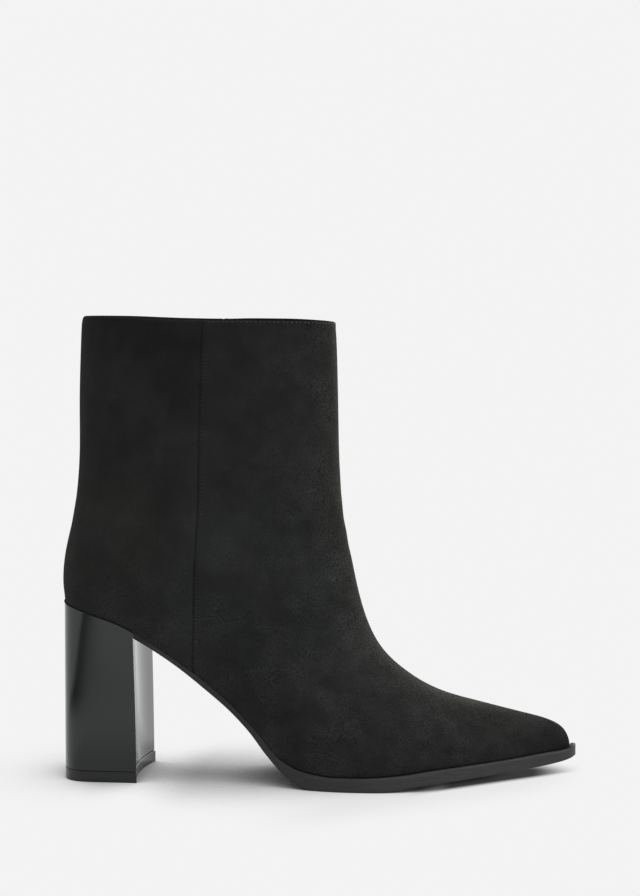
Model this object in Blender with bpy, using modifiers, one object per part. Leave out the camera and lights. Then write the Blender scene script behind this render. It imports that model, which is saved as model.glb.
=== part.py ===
"""Ankle boot for the right foot: a hollow upper drawn over a pointed last, an outsole with a
thin waist and toe spring, a tall block heel with a concave breast, its top piece and an insole.

Working frame, in millimetres: x runs from the back of the heel to the toe, y is across with
the outer (lateral) side at -y, z is up from the floor. The finished boot stands with the
middle of its footprint box on the world origin, in metres.
"""

import bmesh
import bpy
import numpy as np

MM = 0.001
GAP = 0.4            # clear height between pieces that lie on each other
SIDE_GAP = 1.0       # clear width between the insole and the wall around it
WALL = 2.0           # suede and lining together

# Girth sections of the last, from the toe tip to the collar. Each is a plane through a point
# on the front line (top) and one on the feather line or the back line (base). swing is the
# middle's offset to the inner side. lateral and medial are the greatest half widths, tuck is
# the share of them that is left at the feather line, and widest says how far down from the
# top they lie. crown and back are the roundness powers of the top and base ends: 2 is an
# ellipse, more is squarer.
GIRTH_COLUMNS = ("top_x", "top_z", "base_x", "base_z", "swing", "lateral", "medial",
                 "tuck", "widest", "crown", "back")
FOOT_GIRTHS = (
    (248.6, 18.6, 248.6, 16.5, 6.5, 0.0, 0.0, 0.97, 0.70, 2.0, 2.0),      # toe tip
    (247.9, 21.2, 247.9, 16.4, 6.5, 2.2, 2.2, 0.97, 0.70, 2.0, 2.0),
    (245.8, 25.0, 245.8, 16.1, 6.5, 4.4, 4.4, 0.97, 0.70, 2.0, 2.0),
    (241.6, 28.2, 241.6, 15.7, 6.4, 6.9, 6.9, 0.97, 0.70, 2.0, 2.0),
    (234.8, 30.7, 234.6, 15.0, 6.3, 10.2, 10.2, 0.97, 0.70, 2.0, 2.0),
    (225.4, 32.9, 224.6, 13.8, 6.1, 14.7, 14.7, 0.97, 0.70, 2.0, 2.0),
    (214.2, 35.4, 212.6, 12.5, 5.8, 19.5, 19.6, 0.97, 0.70, 2.0, 2.0),    # toe box
    (201.9, 38.1, 198.6, 11.2, 5.2, 24.7, 25.0, 0.97, 0.70, 2.05, 2.1),
    (189.0, 41.4, 182.6, 9.6, 4.3, 29.4, 30.2, 0.97, 0.70, 2.1, 2.1),
    (177.4, 46.4, 166.6, 7.7, 3.2, 33.0, 34.6, 0.96, 0.70, 2.1, 2.2),
    (167.6, 53.0, 152.0, 6.6, 2.3, 34.7, 36.6, 0.94, 0.69, 2.1, 2.2),     # ball
    (160.0, 60.5, 137.5, 6.3, 1.2, 34.3, 36.4, 0.92, 0.68, 2.1, 2.2),
    (154.6, 68.2, 124.0, 7.6, 0.0, 32.4, 34.4, 0.89, 0.66, 2.1, 2.2),     # waist
    (151.1, 75.9, 112.0, 12.7, -0.8, 30.4, 31.6, 0.87, 0.64, 2.1, 2.3),
    (148.5, 83.6, 100.0, 26.3, -1.2, 29.2, 29.4, 0.84, 0.62, 2.1, 2.4),
    (146.4, 91.2, 85.0, 41.5, -1.2, 28.7, 28.4, 0.82, 0.60, 2.1, 2.6),    # instep
    (144.6, 98.6, 68.0, 55.2, -0.8, 28.7, 28.2, 0.82, 0.58, 2.1, 2.9),
    (143.0, 105.8, 50.0, 67.2, -0.3, 28.9, 28.6, 0.85, 0.57, 2.1, 3.2),
    (141.7, 112.0, 33.0, 77.3, 0.0, 29.0, 29.0, 0.875, 0.56, 2.1, 3.5),   # heel seat
    (140.7, 117.0, 19.0, 82.2, 0.0, 29.0, 29.0, 0.865, 0.55, 2.1, 3.7),
)
SHAFT_GIRTHS = (
    (139.1, 127.0, 2.3, 86.9, 0.0, 29.0, 29.0, 0.0, 0.55, 2.1, 3.6),      # heel back
    (138.2, 134.0, 1.8, 95.0, 0.0, 29.0, 29.0, 0.0, 0.55, 2.1, 3.8),
    (137.4, 144.0, 2.8, 108.5, 0.0, 29.2, 29.2, 0.0, 0.54, 2.1, 3.8),
    (136.6, 155.0, 5.8, 125.0, 0.0, 29.6, 29.6, 0.0, 0.53, 2.1, 3.2),     # ankle
    (136.1, 168.0, 8.2, 143.0, 0.0, 30.2, 30.2, 0.0, 0.52, 2.1, 2.75),
    (135.9, 182.0, 9.2, 163.0, 0.0, 30.8, 30.8, 0.0, 0.51, 2.1, 2.45),
    (135.6, 196.0, 9.3, 184.0, 0.0, 31.4, 31.4, 0.0, 0.50, 2.1, 2.3),
    (135.2, 209.5, 9.8, 205.0, 0.0, 31.9, 31.9, 0.0, 0.50, 2.1, 2.2),
    (134.5, 222.8, 10.8, 225.2, 0.0, 32.2, 32.2, 0.0, 0.50, 2.1, 2.2),    # collar
)
HEEL_SEAT_ROW = 19   # from this girth on the feather line turns round the back of the heel
FOOT_SECTIONS = 36
SHAFT_SECTIONS = 10
SIDE_STEPS = 24      # steps along each side of a closed girth
SHORTEST_STEP = 0.4  # least share of a step that is left above the feather line
CURVE_POINTS = 200   # places tried along a girth to find its feather line
EDGE_POINTS = 241    # points along the feather line

# Height of the outsole's underside along the boot: flat on the floor under the ball, springing
# up evenly to the toe and climbing the waist to the heel breast. Columns: x, z.
TREAD = (
    (30.0, 76.0), (39.0, 70.7), (48.0, 65.5), (60.0, 57.5), (74.0, 46.5), (86.0, 36.4),
    (96.0, 26.0), (104.0, 15.8), (113.0, 6.4), (121.0, 1.4), (127.5, 0.0), (141.0, 0.0),
    (153.0, 0.6), (180.0, 3.1), (215.0, 6.6), (235.0, 8.9), (253.0, 12.0),
)
TREAD_CROWN = 0.3    # rise of the underside towards its edges
# How far the outsole's edge stands outside the upper. Columns: x, width.
LEDGE = ((39.0, 0.2), (85.0, 0.3), (112.0, 0.8), (135.0, 1.7), (170.0, 2.2), (225.0, 2.6),
         (248.6, 3.3))
SOLE_TIP_X = 240.0         # from here the sole's sections crowd together towards its tip
SOLE_TIP_SECTIONS = 6
SOLE_TOP_ROUND = 0.6
SOLE_UNDER_BEVEL = 1.3
SOLE_UNDER_RISE = 0.5
SOLE_UNDER_POINTS = 7
SOLE_TOP_POINTS = 5
MOST_EDGE_SHARE = 0.4      # a bevel takes at most this share of a narrow section

HEEL_BREAST_X = 39.3       # breast corner at the heel seat
HEEL_BREAST_LEAN = 0.8     # the breast's foot stands this far further forward
HEEL_BREAST_HOLLOW = 3.2
HEEL_FOOT_BACK_X = 2.5
HEEL_FOOT_HALF_WIDTH = 23.8
HEEL_MIDDLE_X = 20.0       # where the rounded back runs into the flat sides
HEEL_ROUND = 3.0           # power of the rounded back in plan
HEEL_LIP = 0.4             # the heel's top edge stands this far outside the feather line
HEEL_FLARE = 1.5           # power of the heel's widening from its foot to its seat
HEEL_LEVELS = 8
HEEL_BACK_POINTS = 11
HEEL_FLAT_POINTS = 4
HEEL_BREAST_POINTS = 8
TOP_PIECE_HEIGHT = 5.2
TOP_PIECE_PROUD = 0.4
EDGE_BEVEL = 0.35

INSOLE_THICKNESS = 2.2
INSOLE_TOE_X = 232.0
INSOLE_HEEL_X = 20.0       # behind here the insole's sections crowd together towards its back
INSOLE_HEEL_SECTIONS = 7

SUEDE = ("suede_black", (0.012, 0.012, 0.011), 0.95)
SOLE_RUBBER = ("sole_dark_grey", (0.035, 0.035, 0.034), 0.55)
HEEL_LACQUER = ("heel_gloss_black", (0.020, 0.022, 0.022), 0.18)
SOCK_LINING = ("insole_black", (0.020, 0.019, 0.018), 0.80)
SHARP_ANGLE = np.radians(40)
WELD = 0.01
CLOSEST = 2.0              # least distance between neighbouring stations


def spline(rows, at):
    """A natural cubic through the rows, one unit apart, read at the places in at."""
    rows = np.asarray(rows, float)
    last = len(rows) - 1
    system = np.eye(last + 1)
    right = np.zeros_like(rows)
    for i in range(1, last):
        system[i, i - 1:i + 2] = (1, 4, 1)
        right[i] = 6 * (rows[i - 1] - 2 * rows[i] + rows[i + 1])
    bend = np.linalg.solve(system, right)
    i = np.minimum(np.asarray(at).astype(int), last - 1)
    t = (at - i)[:, None]
    return ((1 - t) * rows[i] + t * rows[i + 1]
            + ((1 - t) ** 3 - (1 - t)) * bend[i] / 6 + (t ** 3 - t) * bend[i + 1] / 6)


def eased(table, at):
    """A smooth line through a table of (x, value) that never swings past its values."""
    x, value = np.asarray(table, float).T
    step = np.diff(x)
    rise = np.diff(value) / step
    slope = np.zeros_like(value)
    same_way = rise[:-1] * rise[1:] > 0
    before, after = rise[:-1][same_way], rise[1:][same_way]
    slope[1:-1][same_way] = 2 * before * after / (before + after)
    slope[0], slope[-1] = rise[0], rise[-1]
    i = np.clip(np.searchsorted(x, at) - 1, 0, len(step) - 1)
    t = (np.asarray(at, float) - x[i]) / step[i]
    return (value[i] * (1 + 2 * t) * (1 - t) ** 2 + value[i + 1] * t * t * (3 - 2 * t)
            + step[i] * (slope[i] * t * (1 - t) ** 2 - slope[i + 1] * t * t * (1 - t)))


def seat_height(at):
    """Height of the feather line along the boot."""
    rows = dict(zip(GIRTH_COLUMNS, np.array(FOOT_GIRTHS + SHAFT_GIRTHS[:1])[::-1].T))
    return eased(np.stack([rows["base_x"], rows["base_z"]], 1), at)


def closed_girth(row):
    """A girth carried on below the feather line to the point where it would close."""
    g = dict(zip(GIRTH_COLUMNS, row))
    reach = (1 - g["tuck"] ** g["back"]) ** (1 / g["back"])
    past = g["widest"] + (1 - g["widest"]) / reach
    g["base_x"] = g["top_x"] + (g["base_x"] - g["top_x"]) * past
    g["base_z"] = g["top_z"] + (g["base_z"] - g["top_z"]) * past
    g["widest"] /= past
    g["tuck"] = 0.0
    return list(g.values())


def girths(at):
    """The closed girths at places along the table, smooth between its rows."""
    closed = [closed_girth(row) for row in FOOT_GIRTHS + SHAFT_GIRTHS]
    return [dict(zip(GIRTH_COLUMNS, row)) for row in spline(closed, at)]


def girth_point(g, down):
    """x and z of a girth at a share of the way down from its top to its base."""
    return (g["top_x"] + (g["base_x"] - g["top_x"]) * down,
            g["top_z"] + (g["base_z"] - g["top_z"]) * down)


def feather_turn(g):
    """The angle at which a closed girth meets the feather line, half a turn where it closes
    above it."""
    down = np.linspace(g["widest"], 1, CURVE_POINTS)
    x, z = girth_point(g, down)
    over = z - seat_height(x)
    if over[-1] >= 0:
        return np.pi
    i = np.argmax(over < 0)
    cut = down[i - 1] + (down[i] - down[i - 1]) * over[i - 1] / (over[i - 1] - over[i])
    reach = (cut - g["widest"]) / (1 - g["widest"])
    return np.pi - np.arccos(reach ** (g["back"] / 2))


def girth_side(g, turn, side):
    """Points on one side of a girth at angles from its top (0) to its base (half a turn)."""
    above = turn <= np.pi / 2
    power = np.where(above, 2 / g["crown"], 2 / g["back"])
    reach = np.abs(np.cos(turn)) ** power
    x, z = girth_point(g, g["widest"] + np.where(above, -g["widest"], 1 - g["widest"]) * reach)
    width = max(g["lateral"] if side < 0 else g["medial"], 0.0)
    y = g["swing"] + side * width * np.abs(np.sin(turn)) ** power
    return np.stack([x, y, z], 1)


def half_girth(g, side):
    """One side of a girth from the feather line to its top, at even angles. The ones past the
    feather line are drawn together on it."""
    turn, step = np.linspace(np.pi, 0, SIDE_STEPS + 1, retstep=True)
    end = feather_turn(g)
    turn[turn > end + SHORTEST_STEP * step] = end
    return girth_side(g, turn, side)


def foot_places():
    """Places in the table for the foot's sections: even up to the heel seat, then one for each
    step of the grid that the feather line crosses round the back of the heel."""
    seat = np.linspace(HEEL_SEAT_ROW, len(FOOT_GIRTHS), CURVE_POINTS)
    meets = [feather_turn(g) for g in girths(seat)]
    steps = np.linspace(0, np.pi, SIDE_STEPS + 1)
    return np.concatenate([np.linspace(0, HEEL_SEAT_ROW, FOOT_SECTIONS + 1),
                           np.interp(steps[steps > meets[0]], meets, seat)])


def feather_point(g):
    """Where a girth meets the feather line: x and both edges' y."""
    end = np.array([feather_turn(g)])
    lateral, medial = girth_side(g, end, -1)[0], girth_side(g, end, 1)[0]
    return lateral[0], lateral[1], medial[1]


def feather_line():
    """The upper's bottom edge from the heel back to the toe tip: x and both edges' y."""
    rows = girths(len(FOOT_GIRTHS) * (1 - np.linspace(0, 1, EDGE_POINTS) ** 2))
    return np.array([feather_point(g) for g in rows]).T


def moved_edges(outward):
    """Both edges of the feather line in plan, moved square to themselves by outward(x)."""
    x, lateral, medial = feather_line()
    moved = []
    for side, y in ((-1, lateral), (1, medial)):
        run = np.gradient(np.stack([x, y], 1), axis=0)
        run[0], run[-1] = (0, side), (0, -side)
        normal = np.stack([-side * run[:, 1], side * run[:, 0]], 1)
        normal /= np.linalg.norm(normal, axis=1)[:, None]
        moved.append(np.stack([x, y], 1) + normal * outward(x)[:, None])
    return moved


def edge_point(edge, x):
    return np.array([x, np.interp(x, edge[:, 0], edge[:, 1])])


def stations(first, last):
    """Places along the boot where its girths meet the feather line, with both ends."""
    x = np.array([feather_point(g)[0] for g in girths(foot_places()[::-1])])
    return np.concatenate([[first], x[(x > first + CLOSEST) & (x < last - CLOSEST)], [last]])


def finish(name, colour, roughness):
    """A plain Principled finish, made once and shared."""
    if name in bpy.data.materials:
        return bpy.data.materials[name]
    material = bpy.data.materials.new(name)
    material.use_nodes = True
    shader = material.node_tree.nodes["Principled BSDF"]
    shader.inputs["Base Color"].default_value = (*colour, 1.0)
    shader.inputs["Roughness"].default_value = roughness
    shader.inputs["Metallic"].default_value = 0.0
    return material


def new_piece(name, vertices, faces, material):
    """A mesh object in the boot's collection, its coinciding points joined."""
    mesh = bpy.data.meshes.new(name)
    mesh.from_pydata((np.asarray(vertices) * MM).tolist(), [], faces)
    shape = bmesh.new()
    shape.from_mesh(mesh)
    bmesh.ops.remove_doubles(shape, verts=shape.verts, dist=WELD * MM)
    shape.to_mesh(mesh)
    shape.free()
    mesh.shade_smooth()
    mesh.set_sharp_from_angle(angle=SHARP_ANGLE)
    mesh.materials.append(finish(*material))
    piece = bpy.data.objects.new(name, mesh)
    bpy.data.collections["ankle_boot"].objects.link(piece)
    return piece


def bevel_edges(piece):
    bevel = piece.modifiers.new("rounded edges", "BEVEL")
    bevel.width = EDGE_BEVEL * MM
    bevel.segments = 1
    bevel.limit_method = "ANGLE"
    bevel.angle_limit = SHARP_ANGLE
    return piece


def grid_faces(rows, columns, around=False):
    """Quads between neighbouring rows of a grid of points, joined round where asked."""
    faces = []
    for i in range(rows - 1):
        for j in range(columns if around else columns - 1):
            k = (j + 1) % columns
            faces.append((i * columns + j, i * columns + k,
                          (i + 1) * columns + k, (i + 1) * columns + j))
    return faces


def make_upper():
    """The hollow upper: one skin over the girths, open at the collar and underneath."""
    heel_back = len(FOOT_GIRTHS)
    shaft = np.linspace(heel_back, heel_back + len(SHAFT_GIRTHS) - 1, SHAFT_SECTIONS + 1)
    sections = [np.concatenate([half_girth(g, -1), half_girth(g, 1)[-2::-1]])
                for g in girths(np.concatenate([foot_places(), shaft[1:]]))]
    faces = grid_faces(len(sections), len(sections[0]))
    upper = new_piece("upper", np.concatenate(sections), faces, SUEDE)
    wall = upper.modifiers.new("wall", "SOLIDIFY")
    wall.thickness = WALL * MM
    wall.offset = -1.0
    wall.use_quality_normals = True
    return upper


def breast_hollow(y, half_width):
    """How far the heel's concave front lies behind its corners, deepest in the middle."""
    return HEEL_BREAST_HOLLOW * (1 - np.minimum(np.abs(y) / half_width, 1) ** 2)


def sole_section(lateral, medial, at_breast):
    """A closed loop round the sole: underside from the inner edge, wall, top and wall."""
    width = max(np.linalg.norm(medial - lateral), WELD)
    bevel = min(SOLE_UNDER_BEVEL / width, MOST_EDGE_SHARE)
    rounded = min(SOLE_TOP_ROUND / width, MOST_EDGE_SHARE)
    across = np.concatenate([np.linspace(1 - bevel, bevel, SOLE_UNDER_POINTS), [0, 0],
                             np.linspace(rounded, 1 - rounded, SOLE_TOP_POINTS), [1, 1]])
    x, y = (lateral + (medial - lateral) * across[:, None]).T
    if at_breast:
        x = x - breast_hollow(y, np.abs(y).max())
    roof = seat_height(x) - GAP
    floor = eased(TREAD, x) + TREAD_CROWN * (2 * across - 1) ** 4
    n = SOLE_UNDER_POINTS
    z = np.concatenate([floor[:n], [floor[n] + SOLE_UNDER_RISE, roof[n + 1] - SOLE_TOP_ROUND],
                        roof[n + 2:-2], [roof[-2] - SOLE_TOP_ROUND, floor[-1] + SOLE_UNDER_RISE]])
    return np.stack([x, y, z], 1)


def make_outsole():
    """The outsole from the heel breast to the toe, its edge a ledge outside the upper."""
    lateral, medial = moved_edges(lambda x: eased(LEDGE, np.clip(x, LEDGE[0][0], LEDGE[-1][0])))
    start, tip = HEEL_BREAST_X + GAP, lateral[-1, 0]
    rounding = tip - (tip - SOLE_TIP_X) * np.linspace(1, 0, SOLE_TIP_SECTIONS + 1)[1:] ** 2
    sections = [sole_section(edge_point(lateral, x), edge_point(medial, x), x == start)
                for x in np.concatenate([stations(start, SOLE_TIP_X), rounding])]
    columns = len(sections[0])
    faces = [face[::-1] for face in grid_faces(len(sections), columns, around=True)]
    faces.append(tuple(range(columns)))
    return new_piece("outsole", np.concatenate(sections), faces, SOLE_RUBBER)


def heel_outline(back_x, half_width, corner_x):
    """Half of the heel in plan from its back to the breast corner: x and half width."""
    turn = np.linspace(0, np.pi / 2, HEEL_BACK_POINTS)
    x = HEEL_MIDDLE_X - (HEEL_MIDDLE_X - back_x) * np.cos(turn) ** (2 / HEEL_ROUND)
    half = half_width * np.sin(turn) ** (2 / HEEL_ROUND)
    flat = np.linspace(HEEL_MIDDLE_X, corner_x, HEEL_FLAT_POINTS + 1)[1:]
    return np.concatenate([x, flat]), np.concatenate([half, np.full_like(flat, half_width)])


def seat_outline():
    """Half of the heel's top edge: the feather line with a small lip outside it."""
    lateral, _ = moved_edges(lambda x: np.full_like(x, HEEL_LIP))
    x, _ = heel_outline(lateral[0, 0], 1.0, HEEL_BREAST_X)
    return x, -np.interp(x, lateral[:, 0], lateral[:, 1])


def heel_ring(x, half):
    """A closed loop: outer side from the back, across the breast, inner side to the back."""
    across = np.linspace(-half[-1], half[-1], HEEL_BREAST_POINTS + 2)[1:-1]
    front = x[-1] - breast_hollow(across, half[-1])
    return np.concatenate([x, front, x[:0:-1]]), np.concatenate([-half, across, half[:0:-1]])


def make_heel_block():
    """The block heel, drawn from its flat foot up to the sloping heel seat."""
    foot = np.stack(heel_outline(HEEL_FOOT_BACK_X, HEEL_FOOT_HALF_WIDTH,
                                 HEEL_BREAST_X + HEEL_BREAST_LEAN))
    seat = np.stack(seat_outline())
    bottom = TOP_PIECE_HEIGHT + GAP
    rings = []
    for share in np.linspace(0, 1, HEEL_LEVELS):
        x, y = heel_ring(*(foot + (seat - foot) * share ** HEEL_FLARE))
        z = bottom + share * (seat_height(x) - GAP - bottom)
        rings.append(np.stack([x, y, z], 1))
    columns = len(rings[0])
    faces = grid_faces(HEEL_LEVELS, columns, around=True)
    faces.append(tuple(range(columns))[::-1])
    faces += seat_faces((HEEL_LEVELS - 1) * columns, columns)
    return bevel_edges(new_piece("heel_block", np.concatenate(rings), faces, HEEL_LACQUER))


def seat_faces(first, columns):
    """The heel's sloping top as rungs from side to side, closed by one face at the breast."""
    last_rung = HEEL_BACK_POINTS + HEEL_FLAT_POINTS - 2
    faces = [(first, first + 1, first + columns - 1)]
    for i in range(1, last_rung):
        faces.append((first + i, first + i + 1, first + columns - i - 1, first + columns - i))
    faces.append(tuple(range(first + last_rung, first + columns - last_rung + 1)))
    return faces


def make_top_piece():
    """The heel's replaceable foot, a little proud of the block."""
    x, y = heel_ring(*heel_outline(HEEL_FOOT_BACK_X - TOP_PIECE_PROUD,
                                   HEEL_FOOT_HALF_WIDTH + TOP_PIECE_PROUD,
                                   HEEL_BREAST_X + HEEL_BREAST_LEAN + TOP_PIECE_PROUD))
    rings = [np.stack([x, y, np.full_like(x, z)], 1) for z in (0.0, TOP_PIECE_HEIGHT)]
    columns = len(x)
    faces = grid_faces(2, columns, around=True)
    faces += [tuple(range(columns))[::-1], tuple(range(columns, 2 * columns))]
    return bevel_edges(new_piece("heel_top_piece", np.concatenate(rings), faces, SOLE_RUBBER))


def insole_section(lateral, medial):
    """A closed loop: underside from the inner edge, then the top from the outer edge."""
    across = np.array([1.0, 0.5, 0.0, 0.0, 0.5, 1.0])
    lift = np.repeat([0.0, INSOLE_THICKNESS], 3)
    x, y = (lateral + (medial - lateral) * across[:, None]).T
    return np.stack([x, y, seat_height(x) + lift], 1)


def make_insole():
    """The insole inside the upper, on the heel seat and the outsole."""
    lateral, medial = moved_edges(lambda x: np.full_like(x, -WALL - SIDE_GAP))
    back = lateral[0, 0]
    rounding = back + (INSOLE_HEEL_X - back) * np.linspace(0, 1, INSOLE_HEEL_SECTIONS + 1)[:-1] ** 2
    sections = [insole_section(edge_point(lateral, x), edge_point(medial, x))
                for x in np.concatenate([rounding, stations(INSOLE_HEEL_X, INSOLE_TOE_X)])]
    columns = len(sections[0])
    faces = [face[::-1] for face in grid_faces(len(sections), columns, around=True)]
    end = (len(sections) - 1) * columns
    faces.append(tuple(range(end, end + columns))[::-1])
    return new_piece("insole", np.concatenate(sections), faces, SOCK_LINING)


def clear_scene():
    for old in list(bpy.data.objects):
        bpy.data.objects.remove(old)


def stand_on_origin(pieces):
    """Hangs the pieces on one empty that puts the middle of their footprint on the origin."""
    bpy.context.view_layer.update()
    graph = bpy.context.evaluated_depsgraph_get()
    corners = np.concatenate([[tuple(c) for c in p.evaluated_get(graph).bound_box]
                              for p in pieces])
    low, high = corners.min(0), corners.max(0)
    holder = bpy.data.objects.new("boot", None)
    bpy.data.collections["ankle_boot"].objects.link(holder)
    holder.location = (-(low[0] + high[0]) / 2, -(low[1] + high[1]) / 2, -low[2])
    for piece in pieces:
        piece.parent = holder


def main():
    clear_scene()
    boot = bpy.data.collections.new("ankle_boot")
    bpy.context.scene.collection.children.link(boot)
    stand_on_origin([make_upper(), make_outsole(), make_heel_block(), make_top_piece(),
                     make_insole()])


main()
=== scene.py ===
"""The looks of the ankle boot: suede panels with a side seam and a turned collar, lining, polished
block heel, trimmed sole edge and insole, on a pale floor in soft studio light.

Sizes are in millimetres in the maker's frame (x from the heel to the toe, y to the inner side,
z up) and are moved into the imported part's frame when a mesh is made.
"""

import bmesh
import bpy
import numpy as np
from mathutils import Matrix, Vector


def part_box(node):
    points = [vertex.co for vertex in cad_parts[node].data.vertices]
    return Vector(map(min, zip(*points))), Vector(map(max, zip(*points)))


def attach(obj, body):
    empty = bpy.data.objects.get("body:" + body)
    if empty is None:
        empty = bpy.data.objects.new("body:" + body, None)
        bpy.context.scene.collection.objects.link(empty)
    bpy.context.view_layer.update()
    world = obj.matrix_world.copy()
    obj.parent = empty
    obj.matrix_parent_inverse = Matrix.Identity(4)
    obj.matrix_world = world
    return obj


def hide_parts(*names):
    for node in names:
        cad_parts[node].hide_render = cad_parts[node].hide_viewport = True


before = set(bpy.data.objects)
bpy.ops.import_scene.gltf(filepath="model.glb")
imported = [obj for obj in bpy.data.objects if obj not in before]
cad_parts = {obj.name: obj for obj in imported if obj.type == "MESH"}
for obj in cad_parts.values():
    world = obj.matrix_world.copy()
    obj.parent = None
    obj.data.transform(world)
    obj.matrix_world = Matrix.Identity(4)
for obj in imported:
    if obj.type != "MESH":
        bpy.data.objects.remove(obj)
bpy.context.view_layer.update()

MM = 0.001
SOLE_TIP = 251.9        # the outsole's front end in the maker's frame
SHIFT = np.array([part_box("outsole")[1].x - SOLE_TIP * MM,
                  (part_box("heel_top_piece")[0].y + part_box("heel_top_piece")[1].y) / 2, 0.0])

# The last's girths: top and base points, sideways swing, half widths, share of the width left
# at the feather line, place of the widest point, and roundness of the top and base ends.
GIRTH_COLUMNS = ("top_x", "top_z", "base_x", "base_z", "swing", "lateral", "medial",
                 "tuck", "widest", "crown", "back")
FOOT_GIRTHS = (
    (248.6, 18.6, 248.6, 16.5, 6.5, 0.0, 0.0, 0.97, 0.70, 2.0, 2.0),      # toe tip
    (247.9, 21.2, 247.9, 16.4, 6.5, 2.2, 2.2, 0.97, 0.70, 2.0, 2.0),
    (245.8, 25.0, 245.8, 16.1, 6.5, 4.4, 4.4, 0.97, 0.70, 2.0, 2.0),
    (241.6, 28.2, 241.6, 15.7, 6.4, 6.9, 6.9, 0.97, 0.70, 2.0, 2.0),
    (234.8, 30.7, 234.6, 15.0, 6.3, 10.2, 10.2, 0.97, 0.70, 2.0, 2.0),
    (225.4, 32.9, 224.6, 13.8, 6.1, 14.7, 14.7, 0.97, 0.70, 2.0, 2.0),
    (214.2, 35.4, 212.6, 12.5, 5.8, 19.5, 19.6, 0.97, 0.70, 2.0, 2.0),    # toe box
    (201.9, 38.1, 198.6, 11.2, 5.2, 24.7, 25.0, 0.97, 0.70, 2.05, 2.1),
    (189.0, 41.4, 182.6, 9.6, 4.3, 29.4, 30.2, 0.97, 0.70, 2.1, 2.1),
    (177.4, 46.6, 166.6, 7.7, 3.2, 33.0, 34.6, 0.96, 0.70, 2.1, 2.2),
    (167.6, 53.4, 152.0, 6.8, 2.3, 34.7, 36.6, 0.94, 0.69, 2.1, 2.2),     # ball
    (160.0, 60.5, 137.5, 6.7, 1.2, 34.3, 36.4, 0.92, 0.68, 2.1, 2.2),
    (154.6, 68.2, 124.0, 8.3, 0.0, 32.4, 34.4, 0.89, 0.66, 2.1, 2.2),     # waist
    (151.1, 75.9, 112.0, 13.3, -0.8, 30.4, 31.6, 0.87, 0.64, 2.1, 2.3),
    (148.5, 83.6, 100.0, 26.3, -1.2, 29.2, 29.4, 0.84, 0.62, 2.1, 2.4),
    (146.4, 91.2, 85.0, 41.5, -1.2, 28.7, 28.4, 0.82, 0.60, 2.1, 2.6),    # instep
    (144.6, 98.6, 68.0, 55.2, -0.8, 28.7, 28.2, 0.82, 0.58, 2.1, 2.9),
    (143.0, 105.8, 50.0, 67.2, -0.3, 28.9, 28.6, 0.85, 0.57, 2.1, 3.2),
    (141.7, 112.0, 33.0, 77.3, 0.0, 29.0, 29.0, 0.875, 0.56, 2.1, 3.5),   # heel seat
    (140.7, 117.0, 19.0, 82.2, 0.0, 29.0, 29.0, 0.865, 0.55, 2.1, 3.7),
)
SHAFT_GIRTHS = (
    (139.1, 127.0, 2.3, 86.9, 0.0, 29.0, 29.0, 0.0, 0.55, 2.1, 3.6),      # heel back
    (138.2, 134.0, 1.8, 95.0, 0.0, 29.0, 29.0, 0.0, 0.55, 2.1, 3.8),
    (137.4, 144.0, 2.8, 108.5, 0.0, 29.2, 29.2, 0.0, 0.54, 2.1, 3.8),
    (136.6, 155.0, 5.8, 125.0, 0.0, 29.6, 29.6, 0.0, 0.53, 2.1, 3.2),     # ankle
    (136.1, 168.0, 8.2, 143.0, 0.0, 30.2, 30.2, 0.0, 0.52, 2.1, 2.75),
    (135.9, 182.0, 9.2, 163.0, 0.0, 30.8, 30.8, 0.0, 0.51, 2.1, 2.45),
    (135.6, 196.0, 9.3, 184.0, 0.0, 31.4, 31.4, 0.0, 0.50, 2.1, 2.3),
    (135.2, 209.5, 9.8, 205.0, 0.0, 31.9, 31.9, 0.0, 0.50, 2.1, 2.2),
    (134.5, 222.8, 10.8, 225.2, 0.0, 32.2, 32.2, 0.0, 0.50, 2.1, 2.2),    # collar
)
HEEL_BACK = len(FOOT_GIRTHS)                  # girth that closes at the back of the heel
COLLAR = HEEL_BACK + len(SHAFT_GIRTHS) - 1
NEAR_COLLAR = COLLAR - 0.3                    # just below the collar's edge
HEEL_SEAT = HEEL_BACK - 1
# The side seam between front and back panel: its x along its height z.
SEAM = ((50.0, 68.4), (71.0, 69.1), (85.0, 69.5), (107.0, 70.1), (122.0, 71.1), (143.0, 72.1),
        (165.0, 72.6), (186.0, 73.3), (207.0, 74.0), (226.0, 75.2))

WELD = 0.004            # points closer than this are one
SUEDE_THICK = 0.8


def spline(rows, at):
    """Natural cubic through table rows one unit apart, solved for its bends and read at at."""
    rows = np.asarray(rows, float)
    last = len(rows) - 1
    system = np.eye(last + 1)
    right = np.zeros_like(rows)
    inner = np.arange(1, last)
    for offset, weight in ((-1, 1), (0, 4), (1, 1)):
        system[inner, inner + offset] = weight
    right[inner] = 6 * (rows[:-2] - 2 * rows[1:-1] + rows[2:])
    bend = np.linalg.solve(system, right)
    i = np.minimum(np.asarray(at).astype(int), last - 1)
    t = (at - i)[:, None]
    return ((1 - t) * rows[i] + t * rows[i + 1]
            + ((1 - t) ** 3 - (1 - t)) * bend[i] / 6 + (t ** 3 - t) * bend[i + 1] / 6)


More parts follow.
